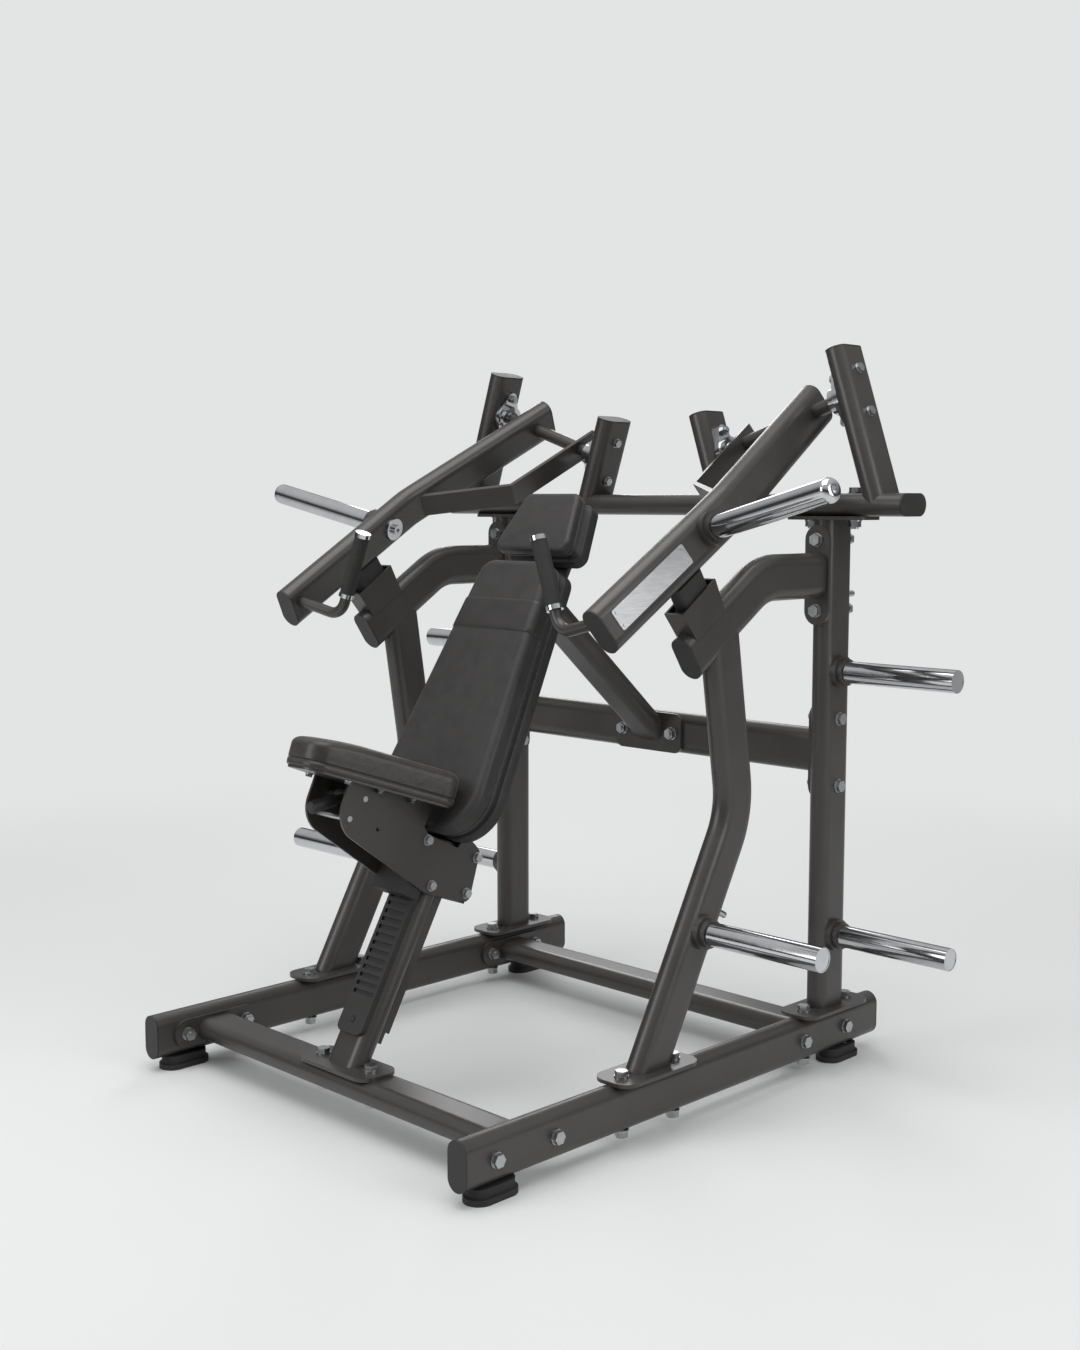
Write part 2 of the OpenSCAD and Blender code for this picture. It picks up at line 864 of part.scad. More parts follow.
module at_short() {
    both() {
        for (y = [-front_bar_y, rear_bar_y], s = [-1, 1]) {
            translate([rail_x + tube_w / 2, y + s * bolt_pair / 2, rail_z]) rotate([0, 90, 0]) children();
        }
        for (s = [-1, 1]) {
            translate([rail_x + s * top_pair / 2, post_y, top_z + tube_w / 2]) children();
            translate([rail_x + tube_w / 2, post_y, mid_z + s * mid_pair / 2]) rotate([0, 90, 0]) children();
        }
        translate([bolt_pair / 2, post_y + tube_w / 2, mid_z]) rotate([-90, 0, 0]) children();
        translate([bolt_pair / 2, -front_bar_y, column_foot_z + plate_t]) children();
    }
}

module at_long() {
    both() for (s = [-1, 1]) {
        for (y = [post_y, -front_saddle_y]) {
            translate([rail_x, y + s * bolt_pair / 2, rail_top + plate_t]) children();
        }
        translate([rail_x, post_front - plate_t, stop_z + s * bolt_pair / 2]) rotate([90, 0, 0]) children();
    }
}

module short_bolts() {
    color(steel) at_short() translate([0, 0, washer_t]) hex_bolt(short_grip + 2 * washer_t + nut_h + 4);
}

module long_bolts() {
    color(steel) at_long() translate([0, 0, washer_t]) hex_bolt(long_grip + 2 * washer_t + nut_h + 2);
}

module washers() {
    color(steel) {
        at_short() for (z = [0, -short_grip - washer_t]) translate([0, 0, z]) washer();
        at_long() for (z = [0, -long_grip - washer_t]) translate([0, 0, z]) washer();
    }
}

module nuts() {
    color(steel) {
        at_short() translate([0, 0, -short_grip - washer_t - nut_h]) nut();
        at_long() translate([0, 0, -long_grip - washer_t - nut_h]) nut();
    }
}

// ---- press arms ----

shaft_r = shaft_d / 2;
shoulder_out = outer_t - tube_w / 2 - flange_t - boss_h - ring_h - 0.8;
shoulder_in = inner_t - tube_w / 2 - flange_t - boss_h - ring_h - 0.8;
journal_end = 0.8;
brace_x = -185;
brace_end = 236;
brace_z = -2;
horn_s = 86;
disc_r = 27;
disc_t = 8;

module arm() {
    difference() {
        union() {
            arm_frame() translate([0, arm_over - cap_t, 0]) rotate([90, 90, 0])
                bent_tube(arm_over - cap_t + arm_upper - arm_tan, arm_bend_r, arm_bend,
                          arm_lower - arm_tan - cap_t, true);
            lower_frame() translate([tube_w / 2, -horn_s, 0]) rotate([0, 90, 0]) collar();
        }
        pivot() rotate([0, 90, 0]) hole(2 * tube_w, shaft_r + weld_gap);
        lower_frame() translate([0, -horn_s, 0]) rotate([0, 90, 0]) hole(2 * tube_w);
    }
}

module brace() {
    k = brace_t * tan(22.5) / 2;
    slant = -brace_x - 12;
    difference() {
        arm_frame() translate([0, 0, brace_z - brace_w / 2]) linear_extrude(brace_w) polygon([
            [brace_x - brace_t / 2, arm_over - cap_t], [brace_x - brace_t / 2, -brace_end - k],
            [brace_x - brace_t / 2 + slant, -brace_end - k - slant],
            [brace_x + brace_t / 2 + slant, -brace_end + k - slant + brace_t / 2],
            [brace_x + brace_t / 2, -brace_end + k], [brace_x + brace_t / 2, arm_over - cap_t]
        ]);
        pivot() rotate([0, 90, 0]) hole(6 * tube_d, shaft_r + weld_gap);
        arm_frame() translate([0, tube_d, 0]) rotate([90, 0, 0]) linear_extrude(arm_upper + tube_d)
            oval(tube_d + 2 * weld_gap, tube_w + 2 * weld_gap);
    }
}

module shaft() {
    pivot() rotate([0, 90, 0]) {
        translate([0, 0, -shoulder_in]) cylinder(r = shaft_r, h = shoulder_in + shoulder_out);
        translate([0, 0, -inner_t + tube_w / 2 + journal_end])
            cylinder(d = journal_d, h = inner_t + outer_t - tube_w - 2 * journal_end);
    }
}

module arm_horn() {
    dome = 15;
    r = horn_d / 2;
    socket_r = 8;
    tap = 45;
    lower_frame() translate([tube_w / 2, -horn_s, 0]) rotate([0, 90, 0]) {
        difference() {
            rotate_extrude() {
                square([r - spigot_step, horn_start + 1]);
                translate([0, horn_start]) square([r, arm_horn_len - dome - horn_start]);
                square([r - dome, arm_horn_len]);
                translate([r - dome, arm_horn_len - dome]) intersection() {
                    circle(r = dome);
                    square(dome);
                }
            }
            translate([0, 0, arm_horn_len - 8]) cylinder(r = socket_r, h = 10, $fn = 6);
            translate([0, 0, -1]) cylinder(r = hole_r, h = tap + 1);
        }
        translate([0, 0, -tube_w - disc_t]) cylinder(r = disc_r, h = disc_t);
        translate([0, 0, -tube_w - disc_t]) cylinder(r = bolt_r, h = tube_w + disc_t + tap - 5);
        translate([0, 0, -tube_w - disc_t - 9]) difference() {
            cylinder(r = 12, h = 10);
            translate([0, 0, -1]) cylinder(r = 6, h = 6, $fn = 6);
        }
    }
}

module arm_caps() {
    arm_frame() translate([0, arm_over - cap_t, 0]) rotate([-90, 0, 0]) tube_cap();
    lower_frame() translate([0, cap_t - arm_lower, 0]) rotate([90, 0, 0]) tube_cap();
}

module name_plate() {
    plate_s = 294;
    plate_l = 240;
    plate_h = 46;
    thick = 2;
    screw_r = 3.2;
    lower_frame() translate([tube_w / 2, -plate_s, 0]) rotate([0, 90, 0]) rotate(90) {
        linear_extrude(thick) rounded(plate_l, plate_h, 5);
        for (x = [-1, 1], y = [-1, 1]) {
            translate([x * (plate_l / 2 - 9), y * (plate_h / 2 - 8), 0]) cylinder(r = screw_r, h = thick + 1.5);
        }
    }
}

handle_r = handle_d / 2;
handle_out = 127;
handle_bend = 81.8;
handle_turn = 57.6;
handle_bend_r = 40;
handle_tan = handle_bend_r * tan(handle_bend / 2);
handle_l1 = handle_out - handle_tan;
handle_z = 9;
ring_s = 48;
ring_len = 10;
ring_or = 18;
grip_gap = 0.1;

module handle_frame() {
    lower_frame() translate([-tube_w / 2, -handle_s, handle_z]) rotate([handle_turn - 180, 0, 0])
        rotate([0, -90, 0]) children();
}

// Past the handle's bend: Z along the grip, from the corner.
module grip_frame() {
    handle_frame() translate([0, 0, handle_out]) rotate([handle_bend, 0, 0]) children();
}

module handle() {
    handle_frame() {
        cylinder(r = handle_r, h = handle_l1);
        translate([0, -handle_bend_r, handle_l1]) {
            rotate([90, 0, 90]) rotate_extrude(angle = handle_bend) translate([handle_bend_r, 0])
                circle(r = handle_r);
        }
    }
    grip_frame() translate([0, 0, handle_tan + seam])
        cylinder(r = handle_r, h = ring_s + grip_len - handle_tan - seam - 3);
}

module grip() {
    grip_frame() translate([0, 0, ring_s + ring_len]) difference() {
        cylinder(d = grip_d, h = grip_len - 2 * ring_len);
        translate([0, 0, -1]) cylinder(r = handle_r + grip_gap, h = grip_len);
    }
}

module grip_trim() {
    grip_frame() {
        translate([0, 0, ring_s]) difference() {
            cylinder(r = ring_or, h = ring_len);
            translate([0, 0, -1]) cylinder(r = handle_r + grip_gap, h = ring_len + 2);
        }
        translate([0, 0, ring_s + grip_len - ring_len]) difference() {
            cylinder(r = ring_or, h = ring_len);
            translate([0, 0, -1]) cylinder(r = handle_r + grip_gap, h = ring_len - 2);
        }
    }
}

module bumper() {
    difference() {
        stop_crest() translate([0, cup_floor + rest_gap, -(bumper_from + bumper_to) / 2]) rotate([-90, 0, 0])
            linear_extrude(tube_d / 2) rounded(2 * bumper_half, bumper_to - bumper_from, 10);
        lower_frame() rotate([90, 0, 0]) linear_extrude(arm_lower) oval(tube_d, tube_w);
    }
}

module arm_left() {
    color(paint) arm();
}

module brace_left() {
    color(paint) brace();
}

module shaft_left() {
    color(paint) shaft();
}

module arm_horn_left() {
    color(chrome) arm_horn();
}

module arm_caps_left() {
    color(plastic) arm_caps();
}

module name_plate_left() {
    color(steel) name_plate();
}

module handle_left() {
    color(paint) handle();
}

module grip_left() {
    color(rubber) grip();
}

module grip_trim_left() {
    color(chrome) grip_trim();
}

module bumper_left() {
    color(rubber) bumper();
}

module arm_right() {
    color(paint) mirror([1, 0, 0]) arm();
}

module brace_right() {
    color(paint) mirror([1, 0, 0]) brace();
}

module shaft_right() {
    color(paint) mirror([1, 0, 0]) shaft();
}

module arm_horn_right() {
    color(chrome) mirror([1, 0, 0]) arm_horn();
}

module arm_caps_right() {
    color(plastic) mirror([1, 0, 0]) arm_caps();
}

module name_plate_right() {
    color(steel) mirror([1, 0, 0]) name_plate();
}

module handle_right() {
    color(paint) mirror([1, 0, 0]) handle();
}

module grip_right() {
    color(rubber) mirror([1, 0, 0]) grip();
}

module grip_trim_right() {
    color(chrome) mirror([1, 0, 0]) grip_trim();
}

module bumper_right() {
    color(rubber) mirror([1, 0, 0]) bumper();
}

// ---- seat carriage ----

plate_in = 54;
plate_out = 60;
seat_y = -face - 3.5;
seat_s = 566;
pan_t = 5;
seat_rake = recline - seat_tilt;
rod_r = 6;
rod_gap = 0.3;
bore_gap = 0.1;
front_rod = [-76, 489.6];
rear_rod = [76, 507];
low_rod = [84, 427];
nose_rod = [-292, 452];
lever_rod = [-273.6, 503];
roller_gap = 0.4;
block_bolt = [-19.3, 407];

module seat_frame() {
    column() translate([0, seat_y, seat_s]) rotate([seat_rake, 0, 0]) children();
}

module seat_outline(inset) {
    outline([[seat_half - 30, -30, 30 - inset], [30 - seat_half, -30, 30 - inset],
             [45 - seat_nose, 45 - seat_len, 45 - inset], [seat_nose - 45, 45 - seat_len, 45 - inset]]);
}

function under_seat(y) = seat_s + (y - seat_y) * tan(seat_rake) - pan_t / cos(seat_rake) - 0.2;

module side_plates() {
    back = seat_y - 6;
    t = plate_out - plate_in;
    color(paint) both() column() translate([plate_in, 0, 0]) rotate([90, 0, 90]) difference() {
        linear_extrude(t) outline([[-262, 479, 62], [-28, 397, 10], [84, 424, 16], [64, 510, 18],
                                   [-90, 572, 4], [-323, 540, 6]]);
        translate([0, 0, -1]) linear_extrude(t + 2) polygon([
            [-380, under_seat(-380)], [back, under_seat(back)], [back, 511], [-78, 501], [14, 506],
            [22, 535], [22, 680], [-380, 680]
        ]);
        translate([-213.6, 460.4]) cylinder(r = 5, h = 4 * t, center = true);
        for (p = [front_rod, rear_rod, low_rod, nose_rod, lever_rod, block_bolt]) {
            translate(p) cylinder(r = rod_r + rod_gap, h = 4 * t, center = true);
        }
    }
}

block_half = plate_in - 0.3;
block_front = [-78, 366];
block_rear = [96, 405];

module guide_blocks() {
    front_face = cover_out + slide_gap;
    rear_face = strip_out + slide_gap;
    color(plastic) column() difference() {
        union() {
            translate([-block_half, block_front[0], block_front[1]])
                cube([2 * block_half, -block_front[0] - front_face, 64]);
            translate([-block_half, front_rod[0] - 14, front_rod[1] - 20])
                cube([2 * block_half, -front_rod[0] + 14 - front_face, 34]);
            translate([-block_half, rear_face, block_rear[1]])
                cube([2 * block_half, block_rear[0] - rear_face, 40]);
        }
        for (p = [front_rod, low_rod]) {
            translate([0, p[0], p[1]]) rotate([0, 90, 0]) hole(3 * plate_out, rod_r + bore_gap);
        }
    }
}

module rollers() {
    r = rear_rod[0] - strip_out - roller_gap;
    color(plastic) column() translate([0, rear_rod[0], rear_rod[1]]) rotate([0, 90, 0]) difference() {
        union() {
            cylinder(r = r, h = 2 * strip_half, center = true);
            cylinder(r = 10, h = 2 * block_half, center = true);
        }
        hole(3 * plate_out, rod_r + bore_gap);
    }
}

// A rod through both side plates, with washers and heads when it is a bolt.
module rod(p, headed = true) {
    w = 2;
    translate([0, p[0], p[1]]) rotate([0, 90, 0]) {
        cylinder(r = rod_r, h = 2 * plate_out + (headed ? 4 : 0), center = true);
    }
    if (headed) both() translate([plate_out, p[0], p[1]]) rotate([0, 90, 0]) {
        cylinder(r = 2 * rod_r, h = w);
        cylinder(r = 1.65 * rod_r, h = w + 8, $fn = 6);
    }
}

module seat_screw() {
    cylinder(r = 4, h = 12);
    translate([0, 0, -2 - pan_t]) cylinder(r = 8, h = 2);
    translate([0, 0, -7 - pan_t]) cylinder(r = 7.2, h = 5.5, $fn = 6);
    translate([0, 0, -pan_t - 1]) cylinder(r = 4, h = 10);
}

module at_seat_screws() {
    seat_frame() both() for (p = [[65, -250], [69, -165], [69, -74]]) translate([p[0], p[1], 0]) children();
}

module carriage_bolts() {
    color(steel) {
        column() {
            for (p = [front_rod, rear_rod, low_rod]) rod(p);
            for (p = [nose_rod, lever_rod]) rod(p, false);
            both() translate([plate_out, block_bolt[0], block_bolt[1]]) rotate([0, 90, 0]) {
                cylinder(r = 2 * rod_r, h = 2);
                cylinder(r = 1.65 * rod_r, h = 9, $fn = 6);
                translate([0, 0, plate_in - plate_out]) cylinder(r = rod_r, h = 8);
            }
        }
        at_seat_screws() seat_screw();
    }
}

module seat_pan() {
    color(paint) difference() {
        seat_frame() translate([0, 0, -pan_t]) linear_extrude(pan_t) seat_outline(5);
        at_seat_screws() hole(30, 4.4);
    }
}

module seat_cushion() {
    nose_r = 26;
    heel_r = 14;
    edge_r = 4;
    color(leather) difference() {
        intersection() {
            seat_frame() linear_extrude(seat_thick) seat_outline(0);
            seat_frame() translate([-seat_half - 1, 0, 0]) rotate([90, 0, 90]) linear_extrude(2 * seat_half + 2)
                outline([[edge_r - seat_len, edge_r, edge_r], [-edge_r, edge_r, edge_r],
                         [-heel_r, seat_thick - heel_r, heel_r], [nose_r - seat_len, seat_thick - nose_r, nose_r]]);
        }
        at_seat_screws() translate([0, 0, -1]) cylinder(r = 4.4, h = 14);
    }
}

module seat_lever() {
    hub_r = 14;
    hub_w = 50;
    knob_s = 34;
    knob_len = 64;
    knob_r = 13;
    color(plastic) column() translate([0, lever_rod[0], lever_rod[1]]) difference() {
        union() {
            rotate([0, 90, 0]) cylinder(r = hub_r, h = hub_w, center = true);
            rotate([recline + 98, 0, 0]) {
                cylinder(r = 8, h = knob_s + 10);
                translate([0, 0, knob_s]) cylinder(r = knob_r, h = knob_len - 6);
                translate([0, 0, knob_s]) cylinder(r = knob_r - 6, h = knob_len);
                translate([0, 0, knob_s + knob_len - 6]) rotate_extrude() intersection() {
                    translate([knob_r - 6, 0]) circle(r = 6);
                    square(knob_r);
                }
            }
        }
        rotate([0, 90, 0]) hole(2 * hub_w, rod_r + 0.05);
    }
}

rail_left();
rail_right();
feet();
tube_caps();
front_crossbar();
rear_crossbar();
rear_post_left();
rear_post_right();
mid_crossbar();
top_crossbar();
uprights_left();
uprights_right();
bearings();
bearing_bolts();
stop_arm_left();
stop_arm_right();
front_post_left();
front_post_right();
strut();
seat_column();
rack_cover();
pad_carrier();
back_cushion();
back_shell();
back_band();
head_cushion();
head_shell();
storage_horns();
short_bolts();
long_bolts();
washers();
nuts();
post_pins();
arm_left();
brace_left();
shaft_left();
arm_horn_left();
arm_caps_left();
name_plate_left();
handle_left();
grip_left();
grip_trim_left();
bumper_left();
arm_right();
brace_right();
shaft_right();
arm_horn_right();
arm_caps_right();
name_plate_right();
handle_right();
grip_right();
grip_trim_right();
bumper_right();
side_plates();
guide_blocks();
rollers();
carriage_bolts();
seat_pan();
seat_cushion();
seat_lever();
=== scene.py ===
# %% [markdown]
# # A plate-loaded incline chest press
# The steel parts come in finished from the CAD model: tubes, plates, bolts and horns. They only
# need their finish here. The pads are soft, so they are made again as upholstered cushions, and
# each one takes the place of the plain block that the CAD model has for it.

# %% Load the frame
import json
import math

import bpy
import numpy as np
from mathutils import Matrix, Vector


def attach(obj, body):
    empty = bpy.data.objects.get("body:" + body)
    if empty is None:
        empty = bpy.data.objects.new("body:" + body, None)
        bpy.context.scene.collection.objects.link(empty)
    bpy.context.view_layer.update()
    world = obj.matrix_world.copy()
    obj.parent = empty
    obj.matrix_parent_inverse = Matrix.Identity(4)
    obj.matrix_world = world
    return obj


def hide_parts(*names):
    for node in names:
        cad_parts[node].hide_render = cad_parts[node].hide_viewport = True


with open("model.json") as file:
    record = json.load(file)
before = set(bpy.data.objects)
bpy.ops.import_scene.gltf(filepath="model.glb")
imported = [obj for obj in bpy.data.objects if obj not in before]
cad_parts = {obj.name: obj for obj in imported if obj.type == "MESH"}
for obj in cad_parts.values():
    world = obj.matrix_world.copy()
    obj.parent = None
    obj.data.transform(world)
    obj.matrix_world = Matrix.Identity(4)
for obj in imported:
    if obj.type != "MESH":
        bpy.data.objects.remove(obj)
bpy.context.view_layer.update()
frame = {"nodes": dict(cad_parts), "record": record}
record = frame["record"]

# %% [markdown]
# The camera is set before anything is made, so that every trial picture is taken from the same
# place. It stands a little above the height of the pads and off the left front corner.

# %% Camera
SENSOR = 36.0
LENS = 43.915
eye = bpy.data.objects.new("camera", bpy.data.cameras.new("camera"))
bpy.context.scene.collection.objects.link(eye)
eye.data.sensor_fit = "VERTICAL"
eye.data.sensor_height = SENSOR
eye.data.lens = LENS
eye.data.clip_end = 60
eye.location = (2.66193, -2.57885, 1.27941)
eye.rotation_euler = (math.radians(84.03), 0, math.radians(45.14))
bpy.context.scene.camera = eye
print("camera lens, mm:", LENS)

# %% [markdown]
# Colours are written as sRGB hex values, which is how a paint or a fabric is usually quoted.
# The shader works in linear light, so one function turns a hex value into linear numbers, and
# one more adds a node with its settings and its links.

# %% Helpers for materials
def linear(hex_value):
    """Each channel: below 0.04045 divided by 12.92, above it ((c + 0.055) / 1.055) ** 2.4."""
    c = np.array([int(hex_value[i:i + 2], 16) for i in (1, 3, 5)]) / 255
    out = np.where(c <= 0.04045, c / 12.92, ((c + 0.055) / 1.055) ** 2.4)
    return (*out.tolist(), 1.0)


def add(tree, kind, settings=(), links=()):
    """A new node: settings are {socket or property: value}, links are {input: (node, output)}."""
    node = tree.nodes.new(kind)
    for key, value in dict(settings).items():
        if isinstance(key, int) or key in node.inputs:
            node.inputs[key].default_value = value
        else:
            setattr(node, key, value)
    for key, (source, output) in dict(links).items():
        tree.links.new(source.outputs[output], node.inputs[key])
    return node


MM = 0.001


def per_metre(size_mm):
    """A noise or Voronoi scale whose cells measure about size_mm."""
    return 1 / (size_mm * MM)


def ramp(tree, source, output, stops):
    """A colour ramp through [(position, hex), ...]."""
    node = add(tree, "ShaderNodeValToRGB", links={"Fac": (source, output)})
    band = node.color_ramp.elements
    while len(band) < len(stops):
        band.new(0.5)
    for element, (at, value) in zip(band, stops):
        element.position = at
        element.color = linear(value)
    return node


def spread(tree, source, output, low, high):
    """A 0 to 1 pattern spread between two values."""
    return add(tree, "ShaderNodeMapRange", {"To Min": low, "To Max": high},
               {"Value": (source, output)})


def finish(name, colours, rough, metallic=0.0, patch_mm=60, grain_mm=0.8, grain_depth_mm=0.02,
           grain_kind="noise", wave_mm=0, wave_depth_mm=0, stretch=(1, 1, 1), fixed=()):
    """Colour drifts over patches, roughness drifts with it, and fine grain (plus an optional
    slower wave) raises the surface. All sizes in millimetres."""
    mat = bpy.data.materials.new(name)
    mat.use_nodes = True
    tree = mat.node_tree
    shader = tree.nodes["Principled BSDF"]
    shader.inputs["Metallic"].default_value = metallic
    for key, value in dict(fixed).items():
        shader.inputs[key].default_value = value
    where = add(tree, "ShaderNodeTexCoord")
    placed = add(tree, "ShaderNodeMapping", {"Scale": stretch}, {"Vector": (where, "Object")})
    patches = add(tree, "ShaderNodeTexNoise", {"Scale": per_metre(patch_mm), "Detail": 6.0,
                                               "Roughness": 0.6}, {"Vector": (placed, 0)})
    colour = ramp(tree, patches, 0, [(0.3, colours[0]), (0.7, colours[1])])
    tree.links.new(colour.outputs[0], shader.inputs["Base Color"])
    dull = spread(tree, patches, 0, rough[0], rough[1])
    tree.links.new(dull.outputs[0], shader.inputs["Roughness"])
    if grain_kind == "pebble":
        grain = add(tree, "ShaderNodeTexVoronoi", {"Scale": per_metre(grain_mm),
                                                   "feature": "SMOOTH_F1"}, {"Vector": (placed, 0)})
    else:
        grain = add(tree, "ShaderNodeTexNoise", {"Scale": per_metre(grain_mm), "Detail": 3.0},
                    {"Vector": (placed, 0)})
    raised = add(tree, "ShaderNodeBump", {"Strength": 1.0, "Distance": grain_depth_mm * MM},
                 {"Height": (grain, 0)})
    if wave_mm:
        wave = add(tree, "ShaderNodeTexNoise", {"Scale": per_metre(wave_mm), "Detail": 3.0,
                                                "Distortion": 0.6}, {"Vector": (placed, 0)})
        raised = add(tree, "ShaderNodeBump", {"Strength": 1.0, "Distance": wave_depth_mm * MM},
                     {"Height": (wave, 0), "Normal": (raised, 0)})
    tree.links.new(raised.outputs[0], shader.inputs["Normal"])
    return mat


# %% [markdown]
# Powder coat is a baked plastic skin on the tubes. It has a satin shine, a very fine orange
# peel, and it looks a little warm. Chrome is nearly a mirror and only its roughness drifts.
# Zinc plate on the bolts is duller and slightly cloudy. The plates on the arms are brushed
# along their length, so their grain is stretched.

# %% Hard finishes
powder_coat = finish("powder_coat_charcoal", ("#34312f", "#3b3836"), (0.33, 0.42),
                     patch_mm=120, grain_mm=1.6, grain_depth_mm=0.03,
                     fixed={"Coat Weight": 0.25, "Coat Roughness": 0.25})
chrome = finish("polished_chrome", ("#c6c8cb", "#d2d4d6"), (0.07, 0.14), metallic=1.0,
                patch_mm=40, grain_mm=9, grain_depth_mm=0.004)
zinc = finish("bright_zinc_plate", ("#a9abad", "#bec0c1"), (0.24, 0.38), metallic=1.0,
              patch_mm=14, grain_mm=1.2, grain_depth_mm=0.02)
brushed_plate = finish("brushed_aluminium_plate", ("#b9bbbd", "#cfd0d1"), (0.28, 0.4), metallic=1.0,
                       patch_mm=30, grain_mm=3, grain_depth_mm=0.015, stretch=(1, 1, 9))
moulded = finish("moulded_black_plastic", ("#232221", "#2b2a29"), (0.46, 0.6), patch_mm=50,
                 grain_mm=1.0, grain_depth_mm=0.04)
grip_rubber = finish("grip_rubber", ("#232221", "#2b2a29"), (0.66, 0.8), patch_mm=30,
                     grain_mm=1.4, grain_depth_mm=0.12, grain_kind="pebble")
print("hard finishes:", 6)

# %% [markdown]
# The pads are covered in artificial leather. On the back and head pads the cover is stretched
# tight and shows only its pebbled grain. The seat's cover has been sat on, so it also has slow
# shallow wrinkles, and it shines more. A smooth strip goes across the back pad.

# %% Soft finishes
pad_grain = finish("artificial_leather_grained", ("#242221", "#302e2d"), (0.42, 0.58), patch_mm=35,
                   grain_mm=2.4, grain_depth_mm=0.28, grain_kind="pebble", wave_mm=50,
                   wave_depth_mm=0.5, fixed={"Sheen Weight": 0.12, "Sheen Roughness": 0.4})
seat_grain = finish("artificial_leather_worn", ("#282422", "#37322f"), (0.30, 0.46), patch_mm=45,
                    grain_mm=2.0, grain_depth_mm=0.22, grain_kind="pebble", wave_mm=24,
                    wave_depth_mm=1.1, fixed={"Sheen Weight": 0.15, "Sheen Roughness": 0.4})
band_skin = finish("artificial_leather_smooth", ("#262423", "#302e2d"), (0.38, 0.48), patch_mm=40,
                   grain_mm=1.2, grain_depth_mm=0.06, grain_kind="pebble")
shell_skin = finish("pad_backing_vinyl", ("#232221", "#2c2b2a"), (0.5, 0.64), patch_mm=30,
                    grain_mm=1.8, grain_depth_mm=0.15, grain_kind="pebble")
print("soft finishes:", 4)

# %% Put the hard finishes on the CAD nodes
FINISH_OF_SLOT = {"paint": powder_coat, "chrome": chrome, "zinc": zinc, "plate": brushed_plate,
                  "rubber": grip_rubber, "pad_cover": pad_grain, "plastic": moulded}
for part in record["subparts"]:
    node = frame["nodes"][part["node"]]
    node.data.materials.clear()
    node.data.materials.append(FINISH_OF_SLOT[part["material_slot"]])
print("nodes with a finish:", len(record["subparts"]))

# %% [markdown]
# Each pad leans with the column, so it is drawn upright in its own frame and then turned into
# place. A frame here is a 4 by 4 matrix, and the sizes are those the CAD model uses, in metres.

# %% The frames that the pads are drawn in
RECLINE = math.radians(29.4)
HEAD_TILT = math.radians(3.6)
SEAT_TILT = math.radians(19.5)
FACE = 0.088
PAD_TOP = 1.159
HEAD_BACK = 0.020
HEAD_GAP = 0.033
SEAT_OFF = -FACE - 0.0035
SEAT_UP = 0.566


def moved(x, y, z):
    return Matrix.Translation((x, y, z))


def tipped(angle):
    return Matrix.Rotation(angle, 4, "X")


column = moved(0, -0.500, 0.105) @ tipped(-RECLINE)
back_frame = column @ moved(0, -FACE, PAD_TOP)
head_frame = column @ moved(0, HEAD_BACK - FACE, PAD_TOP + HEAD_GAP) @ tipped(-HEAD_TILT)
seat_frame = column @ moved(0, SEAT_OFF, SEAT_UP) @ tipped(RECLINE - SEAT_TILT)
# The pads are stacked along their own Z here: outline in X and Y, thickness along Z.
stand_up = Matrix(((1, 0, 0, 0), (0, 0, -1, 0), (0, 1, 0, 0), (0, 0, 0, 1)))
print("column top leans back by degrees:", round(math.degrees(RECLINE), 1))

# %% [markdown]
# A pad is a stack of rings. Every ring is the pad's outline drawn smaller or larger, at its own
# height, and the last rings shrink to a point in the middle of the face. Because an outline
# with round corners has a normal everywhere, moving in by a distance is one line of numpy.

# %% Outline and ring functions
AROUND = 288


def outline(corners):
    """Points and outward normals round corner circles (x, y, r) listed anticlockwise. Each
    circle gives the arc between the outer tangents that join it to its neighbours, and the
    straight runs between arcs are filled evenly, until AROUND points are spaced by length."""
    c = np.array(corners, float)
    nxt = np.roll(c, -1, axis=0)
    gap = nxt[:, :2] - c[:, :2]
    length = np.linalg.norm(gap, axis=1)
    u = gap / length[:, None]
    k = (c[:, 2] - nxt[:, 2]) / length
    right = np.stack([u[:, 1], -u[:, 0]], axis=1)
    m = np.sqrt(1 - k * k)[:, None] * right + k[:, None] * u
    leave = np.unwrap(np.arctan2(m[:, 1], m[:, 0]))
    arrive = np.roll(leave, 1)
    arrive[0] -= 2 * math.pi
    arcs = np.linspace(arrive, leave, 40, axis=1)
    normal = np.stack([np.cos(arcs), np.sin(arcs)], axis=-1)
    point = c[:, None, :2] + c[:, None, 2:3] * normal
    point, normal = point.reshape(-1, 2), normal.reshape(-1, 2)
    loop = np.vstack([point, point[:1]])
    turn = np.vstack([normal, normal[:1]])
    far = np.concatenate([[0], np.cumsum(np.linalg.norm(np.diff(loop, axis=0), axis=1) + 1e-9)])
    at = np.linspace(0, far[-1], AROUND, endpoint=False)
    even = np.stack([np.interp(at, far, loop[:, i]) for i in (0, 1)], axis=1)
    out = np.stack([np.interp(at, far, turn[:, i]) for i in (0, 1)], axis=1)
    return even, out / np.linalg.norm(out, axis=1)[:, None]


